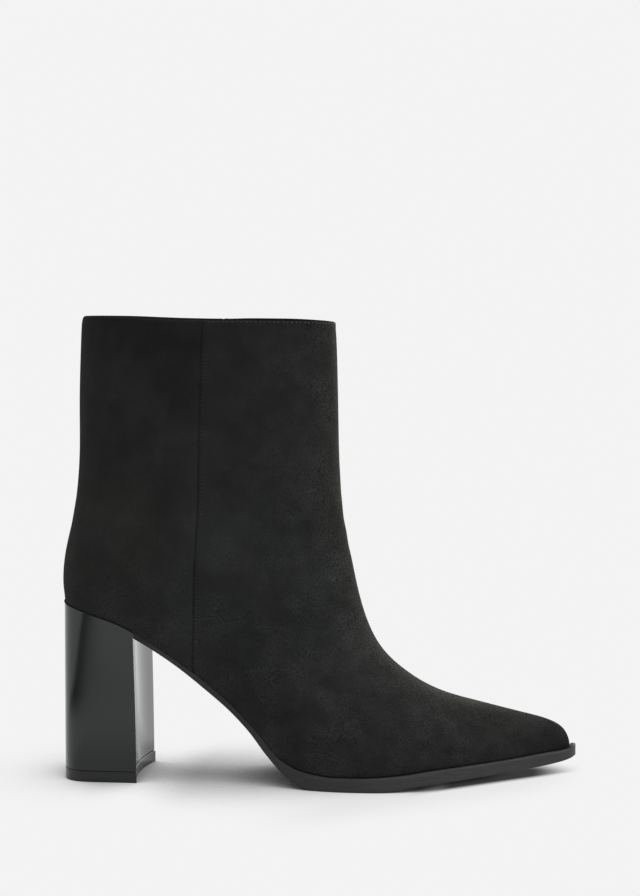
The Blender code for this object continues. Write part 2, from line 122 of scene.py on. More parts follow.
def eased(table, at):
    """Hermite line through (x, value) pairs whose slopes are harmonic means, so it never swings
    past the values."""
    x, value = np.asarray(table, float).T
    step = np.diff(x)
    rise = np.diff(value) / step
    slope = np.zeros_like(value)
    same_way = rise[:-1] * rise[1:] > 0
    before, after = rise[:-1][same_way], rise[1:][same_way]
    slope[1:-1][same_way] = 2 * before * after / (before + after)
    slope[0], slope[-1] = rise[0], rise[-1]
    i = np.clip(np.searchsorted(x, at) - 1, 0, len(step) - 1)
    t = (np.asarray(at, float) - x[i]) / step[i]
    return (value[i] * (1 + 2 * t) * (1 - t) ** 2 + value[i + 1] * t * t * (3 - 2 * t)
            + step[i] * (slope[i] * t * (1 - t) ** 2 - slope[i + 1] * t * t * (1 - t)))


def seat_height(at):
    """Height of the feather line, eased through the girths' base points."""
    rows = dict(zip(GIRTH_COLUMNS, np.array(FOOT_GIRTHS + SHAFT_GIRTHS[:1])[::-1].T))
    return eased(np.stack([rows["base_x"], rows["base_z"]], 1), at)


def unit(vectors):
    """Vectors brought to length 1."""
    return vectors / np.linalg.norm(vectors, axis=-1, keepdims=True)


def run_lengths(points):
    """Length along each row of points from its start."""
    steps = np.linalg.norm(np.diff(points, axis=-2), axis=-1)
    return np.concatenate([np.zeros_like(steps[..., :1]), np.cumsum(steps, -1)], -1)


def girths(at):
    """Girths at places along the table. Each is first carried on below the feather line to the
    point where its base end would close, so that they blend smoothly round the heel."""
    g = dict(zip(GIRTH_COLUMNS, np.array(FOOT_GIRTHS + SHAFT_GIRTHS).T))
    reach = (1 - g["tuck"] ** g["back"]) ** (1 / g["back"])
    past = g["widest"] + (1 - g["widest"]) / reach
    g["base_x"] = g["top_x"] + (g["base_x"] - g["top_x"]) * past
    g["base_z"] = g["top_z"] + (g["base_z"] - g["top_z"]) * past
    g["widest"] = g["widest"] / past
    closed = np.stack([g[name] for name in GIRTH_COLUMNS], 1)
    return {name: column[:, None] for name, column in zip(GIRTH_COLUMNS, spline(closed, at).T)}


def down_girth(g, down):
    """x and z at a share of the way down from a girth's top to its base."""
    return (g["top_x"] + (g["base_x"] - g["top_x"]) * down,
            g["top_z"] + (g["base_z"] - g["top_z"]) * down)


def girth_points(g, turn, side):
    """Superellipse half sections: the angle turn runs from the top (0) to the base (half a turn);
    height goes with |cos|, width with |sin|, each to the power 2 over the end's roundness."""
    above = turn <= np.pi / 2
    power = np.where(above, 2 / g["crown"], 2 / g["back"])
    reach = np.abs(np.cos(turn)) ** power
    x, z = down_girth(g, g["widest"] + np.where(above, -g["widest"], 1 - g["widest"]) * reach)
    width = np.maximum(g["lateral"] if side < 0 else g["medial"], 0)
    y = g["swing"] + side * width * np.abs(np.sin(turn)) ** power
    return np.stack([x, y, z], -1)


def both_sides(g, turn):
    """Whole girths: up the outer side to the top and down the inner side."""
    return np.concatenate([girth_points(g, turn, -1)[:, ::-1], girth_points(g, turn, 1)[:, 1:]], 1)


def first_crossing(values, places):
    """For each row, the place where values first falls below zero, or the last place."""
    below = values < 0
    hit = below.argmax(1)
    row = np.arange(len(values))
    before = np.maximum(hit - 1, 0)
    fall = values[row, before] - values[row, hit]
    share = values[row, before] / np.where(fall == 0, 1, fall)
    found = places[row, before] + (places[row, hit] - places[row, before]) * share
    return np.where(below.any(1), found, places[:, -1])


def feather_turn(g):
    """Angle at which each girth meets the feather line, half a turn where it closes above it."""
    down = g["widest"] + (1 - g["widest"]) * np.linspace(0, 1, 800)
    x, z = down_girth(g, down)
    cut = first_crossing(z - seat_height(x), down)[:, None]
    reach = np.clip((cut - g["widest"]) / (1 - g["widest"]), 0, 1)
    return np.pi - np.arccos(reach ** (g["back"] / 2))[:, 0]


def seam_turn(g, feather):
    """Angle at which each girth crosses the side seam, or the feather line's where it doesn't."""
    turn = feather[:, None] * np.linspace(0, 1, 900)
    points = girth_points(g, turn, 1)
    return first_crossing(points[..., 0] - eased(SEAM, points[..., 2]), turn)


def even_turns(g, start, end, shares):
    """Angles between start and end at shares of the girth's length between them."""
    dense = start[:, None] + (end - start)[:, None] * np.linspace(0, 1, 600)
    run = run_lengths(girth_points(g, dense, 1))
    return np.stack([np.interp(share * length[-1], length, angle)
                     for share, length, angle in zip(shares(run[:, -1]), run, dense)])


def even_shares(count):
    """The same even shares of the length for every girth."""
    return lambda length: np.tile(np.linspace(0, 1, count), (len(length), 1))


def row_places(first, last, spacing):
    """Places along the girth table about spacing apart on the boot, table rows included."""
    at = np.linspace(first, last, 4 * (COLLAR + 1))
    g = girths(at)
    top = np.hypot(np.diff(g["top_x"][:, 0]), np.diff(g["top_z"][:, 0]))
    base = np.hypot(np.diff(g["base_x"][:, 0]), np.diff(g["base_z"][:, 0]))
    run = np.concatenate([[0], np.cumsum(np.maximum(top, base))])
    return np.interp(np.linspace(0, run[-1], int(run[-1] / spacing) + 1), run, at)


def round_heel(count):
    """Places between the heel seat and the heel's back, crowding towards the back."""
    return HEEL_BACK - (1 - np.linspace(0, 1, count)[1:-1]) ** 2


def grid_normals(points):
    """Unit normals of a grid of points, columns crossed with rows by central differences."""
    across = np.cross(np.gradient(points, axis=1), np.gradient(points, axis=0))
    length = np.linalg.norm(across, axis=-1, keepdims=True)
    return across / np.where(length < 1e-12, 1, length)


def grid_quads(rows, columns, around=False):
    """Corner numbers of the quads of a grid stored row by row."""
    wrap = columns if around else columns - 1
    i, j = np.meshgrid(np.arange(rows - 1), np.arange(wrap), indexing="ij")
    k = (j + 1) % columns
    return np.stack([i * columns + j, i * columns + k, (i + 1) * columns + k,
                     (i + 1) * columns + j], -1).reshape(-1, 4)


def show(name, data):
    """An object of this data in the scene."""
    made = bpy.data.objects.new(name, data)
    bpy.context.scene.collection.objects.link(made)
    return made


def make_piece(name, grids, material, values=(), around=False, flip=False):
    """One mesh of several grids of points; points that coincide are joined, and the named values
    ride along on the points."""
    mesh = bpy.data.meshes.new(name)
    starts = np.cumsum([0] + [grid.shape[0] * grid.shape[1] for grid in grids])
    quads = np.concatenate([start + grid_quads(*grid.shape[:2], around)
                            for start, grid in zip(starts, grids)])
    points = np.concatenate([grid.reshape(-1, 3) for grid in grids])
    mesh.from_pydata(points * MM + SHIFT, [], quads[:, ::-1] if flip else quads)
    for key, value in dict(values).items():
        mesh.attributes.new(key, "FLOAT", "POINT").data.foreach_set("value", value.ravel())
    shape = bmesh.new()
    shape.from_mesh(mesh)
    bmesh.ops.remove_doubles(shape, verts=shape.verts, dist=WELD * MM)
    bmesh.ops.dissolve_degenerate(shape, edges=shape.edges, dist=WELD * MM / 2)
    shape.to_mesh(mesh)
    shape.free()
    mesh.shade_smooth()
    mesh.materials.append(material)
    return show(name, mesh)


def dress(piece, slot, *nodes):
    """The piece moves with the boot and stands for these solids; slot is not used."""
    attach(piece, "root")
    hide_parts(*nodes)
    return piece


def thicken(piece, thickness):
    """Gives a skin its thickness, inwards."""
    wall = piece.modifiers.new("thickness", "SOLIDIFY")
    wall.thickness = thickness * MM
    wall.offset = -1.0
    return piece


def round_edges(piece, width):
    """Rounds the edges that are sharper than 40 degrees."""
    bevel = piece.modifiers.new("rounded edges", "BEVEL")
    bevel.width = width * MM
    bevel.segments = 3
    bevel.limit_method = "ANGLE"
    bevel.angle_limit = np.radians(40)
    bevel.harden_normals = True
    return piece


def bell(value, width):
    """A smooth bump of height 1 at zero that dies away over width."""
    return np.exp(-(value / width) ** 2)


# Suede panels

ROW_SPACING = 1.5
EVEN_COLUMNS = 48       # columns of a panel away from the seam, on each side
SEAM_BAND = 7.0         # width beside the seam where the columns crowd
SEAM_COLUMNS = 16
STRIP_START = 27.3      # above this place in the table the collar's own rows take over
COLLAR_DEPTH = 8.0
COLLAR_FINE = 3.4       # from this depth upwards its rows crowd
COLLAR_SWELL = 0.1      # the turned edge is thicker by this much, down to COLLAR_SWELL_DEPTH
COLLAR_SWELL_DEPTH = 1.8
COLLAR_RADIUS = 1.0     # the collar's edge is turned over this radius
FACING_DEPTH = 6.0      # the turned edge reaches this far down inside
BACK_LEAN = 1.0         # the collar leans in at the back by this much
BACK_LEAN_DEPTH = 4.5
BACK_LEAN_WIDTH = 16.0
STITCH_DEPTH = 0.8
STITCH_STRAY = 0.2
STITCH_PITCH = 2.2
STITCH_OUT = 0.06
STITCH_CLEAR = 3.0      # none closer than this to the side seam
STITCH_HALF = (0.7, 0.2)    # half length, half thickness
FAR_BACK = 90.0         # the back panel's distance from the middle line of the front
OUTER_ROWS = 19         # rows of the collar up to where its edge begins to turn

# Waves of the collar's edge on the outer and inner side: x, lift.
OUTER_WAVE = ((9.0, 0.40), (29.0, 0.35), (44.0, 0.0), (54.0, -0.2), (66.0, -0.25), (78.0, -0.15),
              (88.0, 0.10), (100.0, 0.20), (112.0, 0.25), (125.0, 0.20), (136.0, -0.10))
INNER_WAVE = ((9.0, 0.40), (29.0, 0.35), (44.0, 0.0), (54.0, -0.2), (66.0, -0.25), (78.0, -0.10),
              (88.0, 0.32), (100.0, 0.55), (112.0, 0.70), (125.0, 0.45), (136.0, -0.10))
# The seam's groove and the low swellings beside it: depth, distance from the seam, half width.
SEAM_FORMS = ((0.34, 0.0, 0.55), (-0.12, 1.6, 0.8), (-0.05, -1.8, 1.0))
PUCKER = (0.13, 0.7, 1.3)     # puckers of its stitches, in the same columns
PUCKER_PITCH = 3.6
# Slow waves of the whole upper: lengths along x, y and z, start.
SWELLS = ((17.0, np.inf, 31.0, 0.0), (-23.0, 40.0, 14.0, 0.0), (11.0, np.inf, -9.0, 1.3))
SWELL_DEPTH = 0.07
WAIST_FROM, WAIST_LENGTH = 98.0, 24.0     # where the painted shadow line at the joint with the sole fades out on the waist
WAIST_FADE = 1.2
# Soft folds: middle x and z, run up or down along x, half length, half width, depth.
FOLDS = (
    (128.0, 121.0, 0.55, 17.0, 4.6, 0.40),     # front of the ankle
    (126.0, 136.0, 0.42, 15.0, 5.0, 0.26),
    (131.0, 106.0, 0.75, 16.0, 5.0, 0.30),
    (158.0, 51.0, -1.15, 12.0, 5.5, 0.22),     # vamp, over the ball
    (147.0, 59.0, -1.25, 12.0, 5.5, 0.20),
    (22.0, 121.0, -0.20, 15.0, 5.0, 0.30),     # back of the ankle
    (24.0, 136.0, -0.12, 14.0, 5.5, 0.24),
    (60.0, 168.0, 0.10, 22.0, 9.0, 0.22),      # quarter and shaft
    (108.0, 184.0, -0.15, 20.0, 9.0, 0.25),
)


def rim_height(x):
    """Height of the collar's edge, a straight line from the front to the back."""
    front_x, front_z, back_x, back_z = SHAFT_GIRTHS[-1][:4]
    return front_z + (front_x - x) * (back_z - front_z) / (front_x - back_x)


def collar_lift(edge):
    """How far the collar's edge stands above a straight line: two eased waves, one for the outer
    and one for the inner side, blended by the place across the boot."""
    x, y = edge[..., 0], edge[..., 1]
    inner_share = np.clip(y / SHAFT_GIRTHS[-1][5], -1, 1) / 2 + 0.5
    outer, inner = eased(OUTER_WAVE, x), eased(INNER_WAVE, x)
    return outer + (inner - outer) * inner_share


def panel_shares(length):
    """Shares of each row's length, even at first and crowded in the band before the seam."""
    band = (np.minimum(SEAM_BAND, 0.3 * length) / np.maximum(length, 1e-6))[:, None]
    even = (1 - band) * np.linspace(0, 1, EVEN_COLUMNS)
    near = 1 - band * (1 - np.linspace(0, 1, SEAM_COLUMNS + 1)[1:]) ** 1.8
    return np.concatenate([even, near], 1)


def seam_distance(points):
    """Distance from the side seam along the boot, positive on the front panel."""
    return points[..., 0] - eased(SEAM, points[..., 2])


def fold_depth(points):
    """Depth of the leather's soft troughs: each a bell across a straight crease that fades to
    its ends, less a slight swell of the whole shaft made of three slow waves."""
    x, y, z = np.moveaxis(points, -1, 0)
    depth = np.zeros_like(x)
    for middle_x, middle_z, slope, half_length, half_width, deep in FOLDS:
        along = x - middle_x
        across = (z - middle_z - slope * along) / np.hypot(1, slope)
        depth += deep * bell(across, half_width) * bell(along, half_length)
    swell = sum(np.sin(x / long + y / wide + z / high + start) for long, wide, high, start in SWELLS)
    return depth - SWELL_DEPTH * swell


def seam_depth(points):
    """The panels' edges turn in to a groove along the seam, a bell across it, puckered by its
    stitches in a slow wave along it, with a low swelling beside it."""
    away, along = seam_distance(points), points[..., 2]
    pucker = 0.5 + 0.5 * np.sin(2 * np.pi * along / PUCKER_PITCH + 0.9 * np.sin(along / 6.0))
    forms = [deep * bell(away - at, wide) for deep, at, wide in (*SEAM_FORMS, PUCKER)]
    return sum(forms[:-1]) + pucker * forms[-1]


def collar_rows(edge, below, normal):
    """Rows over the collar's edge: up the outside with a pressed line for the stitches, round a
    half circle and down the inside. below lies under edge on the wall."""
    up = unit(edge - below)
    edge = edge + up * collar_lift(edge)[..., None]
    outer = np.concatenate([np.linspace(COLLAR_DEPTH, COLLAR_FINE, 7)[:-1],
                            np.linspace(COLLAR_FINE, COLLAR_RADIUS, OUTER_ROWS - 6)])
    swell = COLLAR_SWELL * bell(np.maximum(outer - COLLAR_SWELL_DEPTH, 0), COLLAR_SWELL_DEPTH / 2)
    roll = np.linspace(0, np.pi, 11)[1:]
    inner = np.linspace(COLLAR_RADIUS, FACING_DEPTH, 8)[1:]
    turned = (swell[-1] + 2 * COLLAR_RADIUS) * (1 + np.cos(roll)) / 2 - 2 * COLLAR_RADIUS
    down = np.concatenate([outer, COLLAR_RADIUS * (1 - np.sin(roll)), inner])
    out = np.concatenate([swell, turned, np.full_like(inner, -2 * COLLAR_RADIUS)])
    back = np.clip(1 - (edge[..., 0] - SHAFT_GIRTHS[-1][2]) / BACK_LEAN_WIDTH, 0, 1) ** 2
    lean = BACK_LEAN * np.clip(1 - down / BACK_LEAN_DEPTH, 0, 1) ** 2
    out = out[:, None] - lean[:, None] * back
    return edge - up * down[:, None, None] + normal * out[..., None]


def front_distance(points):
    """Distance round the boot from the middle line of the front, which is the middle column."""
    run = run_lengths(points)
    return np.abs(run - run[:, [points.shape[1] // 2]])


def shaped_panel(main, front=False):
    """A panel from rows that end at the collar's edge: its collar, seam and folds pressed in.
    Returns the shaped grid and its values for the finish."""
    strip = collar_rows(main[-1], main[-2], grid_normals(main)[-1])
    keep = len(main) - 2
    flat = np.concatenate([main[:keep], strip])
    rim = rim_height(flat[..., 0]) - flat[..., 2]
    sink = seam_depth(flat) + fold_depth(flat) * np.clip(rim / COLLAR_DEPTH, 0, 1)
    turned = keep + OUTER_ROWS
    sink[turned:] = sink[turned - 1] * np.linspace(1, 0, len(flat) - turned)[:, None] ** 2
    waist = 1 - np.clip((flat[..., 0] - WAIST_FROM) / WAIST_LENGTH, 0, 1)
    values = {"seam": seam_distance(flat), "rim": rim,
              "feather": flat[..., 2] - seat_height(flat[..., 0]) + WAIST_FADE * waist,
              "front": front_distance(flat) if front else np.full_like(rim, FAR_BACK)}
    return flat - grid_normals(flat) * sink[..., None], values


def joined_values(parts):
    return {key: np.concatenate([part[key].ravel() for part in parts]).astype(np.float32)
            for key in parts[0]}


def make_front_panel(material):
    """Vamp and front of the shaft in one: the girths' fronts as far as the feather line or seam."""
    at = np.append(row_places(0, STRIP_START, ROW_SPACING), [NEAR_COLLAR, COLLAR])
    g = girths(at)
    end = seam_turn(g, feather_turn(g))
    turn = even_turns(g, np.zeros_like(at), end, panel_shares)
    grid, values = shaped_panel(both_sides(g, turn), True)
    piece = make_piece("front_panel", [grid], material, joined_values([values]))
    return dress(thicken(piece, SUEDE_THICK), "suede", "upper")


def make_back_panel(material):
    """Heel counter and back of the shaft in one: the girths' backs from the seam to the feather
    line, or to the back where they close."""
    tries = np.linspace(HEEL_SEAT - 4, HEEL_SEAT, 400)
    g = girths(tries)
    feather = feather_turn(g)
    first = tries[np.argmax(seam_turn(g, feather) < feather - 1e-4)]
    at = np.concatenate([row_places(first, HEEL_SEAT, ROW_SPACING), round_heel(26),
                         row_places(HEEL_BACK, STRIP_START, ROW_SPACING), [NEAR_COLLAR, COLLAR]])
    g = girths(at)
    feather = feather_turn(g)
    turn = even_turns(g, np.full_like(at, np.pi), seam_turn(g, feather), panel_shares)
    turn = np.minimum(turn, feather[:, None])
    outer, outer_values = shaped_panel(girth_points(g, turn, -1))
    inner, inner_values = shaped_panel(girth_points(g, turn[:, ::-1], 1))
    closed = np.argmax(at >= HEEL_BACK)
    outer[closed:, 0, 1] = inner[closed:, -1, 1] = 0
    piece = make_piece("back_panel", [outer, inner], material,
                       joined_values([outer_values, inner_values]))
    return dress(thicken(piece, SUEDE_THICK), "suede", "upper")


LINING_OFFSET = 1.0
LINING_THICK = 0.6
LINING_TOE = 3.0        # place in the girth table where it begins
LINING_SPACING = 3.0


def make_lining(material):
    """The lining: the girths moved in from the suede, from the toe box to the collar's facing."""
    at = np.concatenate([row_places(LINING_TOE, HEEL_SEAT, LINING_SPACING), round_heel(9),
                         row_places(HEEL_BACK, NEAR_COLLAR, LINING_SPACING)])
    g = girths(at)
    grid = both_sides(g, even_turns(g, np.zeros_like(at), feather_turn(g), even_shares(44)))
    moved = grid - grid_normals(grid) * LINING_OFFSET
    closed = at >= HEEL_BACK
    moved[closed, 0] = moved[closed, -1] = moved[closed, 0] * (1, 0, 1)
    piece = make_piece("lining", [moved], material)
    return dress(thicken(piece, LINING_THICK), "sock_lining", "upper")


def make_collar_stitches(material):
    """Stitches in the collar's pressed line: small ellipsoids, long along the edge."""
    g = girths(np.array([NEAR_COLLAR, COLLAR]))
    loop = both_sides(g, even_turns(g, np.zeros(2), np.full(2, np.pi), even_shares(400)))
    up = unit(loop[1] - loop[0])
    out = grid_normals(loop)[1]
    line = loop[1] + up * (collar_lift(loop[1]) - STITCH_DEPTH)[:, None] + out * STITCH_OUT
    run = run_lengths(line)
    at = np.arange(STITCH_PITCH / 2, run[-1], STITCH_PITCH)
    at = at + STITCH_STRAY * np.sin(2.4 * np.arange(len(at)))
    middle, up, out = [np.stack([np.interp(at, run, row) for row in rows.T], 1)
                       for rows in (line, up, out)]
    along = np.cross(out, up)
    clear = seam_distance(middle) > STITCH_CLEAR
    middle, up, out, along = middle[clear], up[clear], out[clear], along[clear]
    turn, tilt = np.meshgrid(np.linspace(0, 2 * np.pi, 9), np.linspace(0, np.pi, 8))
    long, thick = STITCH_HALF
    shape = np.stack([long * np.cos(tilt), thick * np.sin(tilt) * np.cos(turn),
                      thick * np.sin(tilt) * np.sin(turn)], -1)
    grids = [m + shape[..., :1] * a + shape[..., 1:2] * u + shape[..., 2:] * n
             for m, a, u, n in zip(middle, along, up, out)]
    return dress(make_piece("collar_stitches", grids, material), "suede", "upper")


# Sole, heel and insole

GAP = 0.4
BREAST_X = 39.3
BREAST_LEAN = 1.2
BREAST_HOLLOW = 3.1
BREAST_SLANT = 0.5
BREAST_GAP = 0.3
BREAST_JOINT = 0.2       # between the heel's front and the end of the sole
BREAST_REACH = 0.15      # the sole's end leans back by this much to its top, as the heel does
HEEL_FOOT_BACK = 1.9
HEEL_FOOT_HALF = 24.2
HEEL_MIDDLE = 20.0
HEEL_ROUND = 3.0
HEEL_LIP = 0.1
HEEL_FLARE = 1.5
HEEL_BEVEL = 0.3
HEEL_EDGE_PROUD = 0.35
HEEL_EDGE_DEPTH = 1.6
HEEL_EDGE_HEIGHT = 1.0
TOP_PIECE_HEIGHT = 5.3
TOP_PIECE_GAP = 0.12
TOP_PIECE_PROUD = 0.05
TOP_PIECE_BEVEL = 0.2
INSOLE_INSET = 2.3
INSOLE_THICK = 2.2
INSOLE_TOE = 232.0
INSOLE_ROUND = 20.0      # its rows crowd from here to the heel's back
SOLE_ROUND = 238.0       # and the sole's from here to its tip
# Height of the sole's underside along the boot: x, z.
TREAD = (
    (30.0, 76.0), (39.0, 71.0), (48.0, 65.7), (60.0, 57.7), (74.0, 46.7), (86.0, 36.6),
    (96.0, 26.2), (104.0, 15.9), (113.0, 6.4), (121.0, 1.4), (127.5, 0.0), (141.0, 0.0),
    (155.0, 0.0), (180.0, 2.8), (215.0, 6.7), (235.0, 9.0), (244.0, 10.5), (249.0, 11.7),
    (251.5, 12.7), (253.0, 13.5),
)
# Gap between the sole and the upper: places along the boot, gaps.
SOLE_GAP = (98.0, 116.0), (0.04, 0.15)
# How far the sole's edge stands outside the upper: x, width.
LEDGE = ((39.0, 0.2), (85.0, 0.3), (112.0, 0.8), (135.0, 1.7), (170.0, 2.2), (225.0, 2.4),
         (248.6, 3.0))
TIP_LIP = 1.1            # rise of the ledge in front of the toe
TIP_LIP_FROM, TIP_LIP_LENGTH = 247.0, 3.0
# Half of the sole's section from the middle of its underside round the edge to the middle of its
# top. Inside: share of the width and distance from the edge; from the floor and from the roof:
# heights in millimetres, scaled down where the sole is thin; wall: share of the way up.
SOLE_PROFILE = np.array([
    # share, inset, floor, roof, wall
    (0.50, 0, 0, 0, 0), (0.38, 0, 0, 0, 0), (0.26, 0, 0, 0, 0), (0.15, 0, 0, 0, 0),
    (0, 1.20, 0, 0, 0), (0, 0.70, 0.03, 0, 0), (0, 0.40, 0.10, 0, 0), (0, 0.20, 0.22, 0, 0),
    (0, 0.07, 0.39, 0, 0), (0, 0.02, 0.58, 0, 0), (0, 0, 0.80, 0, 0), (0, 0, 0.80, -0.7, 0.25),
    (0, 0, 0.80, -0.7, 0.5), (0, 0, 0.80, -0.7, 0.75), (0, 0, 0, -0.7, 1.0),
    (0, 0.05, 0, -0.42, 1.0), (0, 0.20, 0, -0.20, 1.0), (0, 0.45, 0, -0.06, 1.0),
    (0, 0.80, 0, 0, 1.0), (0.15, 0.80, 0, 0, 1.0), (0.30, 0, 0, 0, 1.0), (0.50, 0, 0, 0, 1.0)])
# The insole's section from the middle of its underside round one edge, over its top and back:
# share of the width, share of the thickness.
INSOLE_PROFILE = np.array([
    (1.0, 0.0), (0.75, 0.0), (0.5, 0.0), (0.25, 0.0), (0.0, 0.0), (0.0, 0.7), (0.012, 1.0),
    (0.06, 1.0), (0.15, 0.97), (0.3, 0.94), (0.5, 0.93), (0.7, 0.94), (0.85, 0.97), (0.94, 1.0),
    (0.988, 1.0), (1.0, 0.7)])


def feather_line():
    """The upper's lower edge from the heel back to the toe tip, outer and inner side."""
    g = girths(HEEL_BACK * (1 - np.linspace(0, 1, 401) ** 2))
    turn = feather_turn(g)[:, None]
    return girth_points(g, turn, -1)[:, 0], girth_points(g, turn, 1)[:, 0]


def moved_edges(outward):
    """Both edges of the feather line in plan, moved square to themselves by outward(x)."""
    edges = []
    for side, line in zip((-1, 1), feather_line()):
        plan = line[:, :2]
        run = np.gradient(plan, axis=0)
        run[0], run[-1] = (0, side), (0, -side)
        normal = unit(np.stack([-side * run[:, 1], side * run[:, 0]], 1))
        edges.append(plan + normal * outward(plan[:, 0])[:, None])
    return edges


def edges_at(edges, along):
    """Sideways places of both edges at places along the boot."""
    return [np.interp(along, edge[:, 0], edge[:, 1]) for edge in edges]


def breast_hollow(y, half_width):
    """How far the heel's concave front lies behind its corners, a parabola across."""
    return BREAST_HOLLOW * (1 - np.minimum(np.abs(y) / half_width, 1) ** 2)


def make_outsole(material):
    """The sole: one rounded section drawn along the boot, between the tread's height and the
    feather line's, as wide as the feather line and its ledge."""
    edges = moved_edges(lambda x: eased(LEDGE, np.clip(x, LEDGE[0][0], LEDGE[-1][0])))
    start, tip = BREAST_X + BREAST_JOINT, edges[0][-1, 0]
    along = np.concatenate([np.linspace(start, SOLE_ROUND, 150),
                            tip - (tip - SOLE_ROUND) * np.linspace(1, 0, 26)[1:] ** 2])[:, None]
    low_y, high_y = edges_at(edges, along)
    width = np.maximum(high_y - low_y, 1e-6)
    share, inset, floor, roof, wall = SOLE_PROFILE.T
    across = np.minimum(np.maximum(share, inset / width), 0.5)
    across = np.concatenate([across, 1 - across[:, ::-1]], 1)
    floor, roof, wall = [np.concatenate([part, part[::-1]]) for part in (floor, roof, wall)]
    y = low_y + width * across
    x = np.repeat(along, y.shape[1], 1)
    half = np.abs(y[0]).max()
    end = breast_hollow(y[0], half) + BREAST_SLANT * np.clip(y[0] / half, 0, 1) ** 5
    x[0] -= end + BREAST_REACH * wall
    bottom = eased(TREAD, x)
    lip = np.clip((x - TIP_LIP_FROM) / TIP_LIP_LENGTH, 0, 1) ** 2
    top = seat_height(x) - np.interp(x, *SOLE_GAP) + TIP_LIP * lip
    scale = np.clip((top - bottom) / 4.0, 0, 1)
    z = (bottom + floor * scale) * (1 - wall) + (top + roof * scale) * wall
    grid = np.stack([x, y, z], -1)
    cap = np.repeat(grid[:1].mean(1, keepdims=True), grid.shape[1], 1)
    piece = make_piece("outsole_body", [np.concatenate([cap, grid])], material, around=True,
                       flip=True)
    piece.data.set_sharp_from_angle(angle=np.radians(50))
    return dress(piece, "sole_rubber", "outsole")


def heel_outline(back_x, half_width, corner_x):
    """Half of the heel in plan from its back to the breast corner: a superellipse quarter, then
    a straight side."""
    turn = np.linspace(0, np.pi / 2, 56)
    x = HEEL_MIDDLE - (HEEL_MIDDLE - back_x) * np.cos(turn) ** (2 / HEEL_ROUND)
    half = half_width * np.sin(turn) ** (2 / HEEL_ROUND)
    flat = np.linspace(HEEL_MIDDLE, corner_x, 15)[1:]
    return np.stack([np.append(x, flat), np.append(half, np.full_like(flat, half_width))])


def heel_ring(x, half, slant=0.0):
    """A closed loop: outer side from the back, across the hollow breast, inner side back. The
    breast's inner corner lies behind its outer one by the slant."""
    across = np.linspace(-half[-1], half[-1], 34)[1:-1]
    front = x[-1] - breast_hollow(across, half[-1])
    y = np.concatenate([-half, across, half[:0:-1]])
    x = np.concatenate([x, front, x[:0:-1]])
    forward = np.clip((x - HEEL_MIDDLE) / (x.max() - HEEL_MIDDLE), 0, 1)
    return x - slant * forward * np.clip(y / half[-1], 0, 1) ** 5, y


def closed_rings(rings):
    """Rings with a point closing each end."""
    ends = [np.repeat(ring.mean(0, keepdims=True), len(ring), 0) for ring in (rings[0], rings[-1])]
    return np.stack([ends[0], *rings, ends[1]])


def make_heel_block(material):
    """The block heel: rings that widen by a power law from its foot to the sloping heel seat."""
    foot = heel_outline(HEEL_FOOT_BACK, HEEL_FOOT_HALF, BREAST_X + BREAST_LEAN)
    lateral, _ = moved_edges(lambda x: np.full_like(x, HEEL_LIP))
    seat_x, _ = heel_outline(lateral[0, 0], 1.0, BREAST_X)
    seat = np.stack([seat_x, -np.interp(seat_x, lateral[:, 0], lateral[:, 1])])
    bottom = TOP_PIECE_HEIGHT + TOP_PIECE_GAP
    rings = []
    for share in np.linspace(0, 1, 44):
        x, y = heel_ring(*(foot + (seat - foot) * share ** HEEL_FLARE), BREAST_SLANT)
        inside = (x > HEEL_MIDDLE) * np.clip(y.max() - np.abs(y), 0, 1)
        low = bottom + BREAST_GAP * inside
        rings.append(np.stack([x, y, low + share * (seat_height(x) - GAP - low)], 1))
    piece = make_piece("heel_body", [closed_rings(rings)], material, around=True)
    return dress(round_edges(piece, HEEL_BEVEL), "heel_gloss", "heel_block")


def make_heel_edge(material):
    """The thin dark edge on top of the heel, dark suede that also stands in for the shadow in the
    gap
    between the upper and the heel: a small rounded bar along the feather line, from one breast
    corner round the back to the other."""
    lateral, medial = [edge[edge[:, 0] <= BREAST_X] for edge in
                       moved_edges(lambda x: np.full_like(x, HEEL_EDGE_PROUD))]
    path = np.concatenate([lateral[::-1], medial[1:]])
    run = np.gradient(path, axis=0)
    out = unit(np.stack([-run[:, 1], run[:, 0]], 1))
    turn = np.linspace(0, 2 * np.pi, 13)[:-1]
    inward = HEEL_EDGE_DEPTH * (np.cos(turn) - 1) / 2
    lift = HEEL_EDGE_HEIGHT / 2 * np.sin(turn)
    plan = path[:, None] + out[:, None] * inward[:, None]
    level = seat_height(np.minimum(path[:, 0], BREAST_X))[:, None] - GAP / 2 + lift
    rings = np.concatenate([plan, level[..., None]], 2)
    piece = make_piece("heel_edge_and_gap_shade", [closed_rings(list(rings))], material, around=True)
    return dress(piece, "suede", "heel_block")


def make_top_piece(material):
    """The heel's replaceable foot: the heel's outline, a little proud, drawn straight up."""
    x, y = heel_ring(*heel_outline(HEEL_FOOT_BACK - TOP_PIECE_PROUD,
                                   HEEL_FOOT_HALF + TOP_PIECE_PROUD,
                                   BREAST_X + BREAST_LEAN + TOP_PIECE_PROUD))
    rings = [np.stack([x, y, np.full_like(x, z)], 1)
             for z in np.linspace(0, TOP_PIECE_HEIGHT, 5)]
    piece = make_piece("top_piece_body", [closed_rings(rings)], material, around=True)
    return dress(round_edges(piece, TOP_PIECE_BEVEL), "sole_rubber", "heel_top_piece")


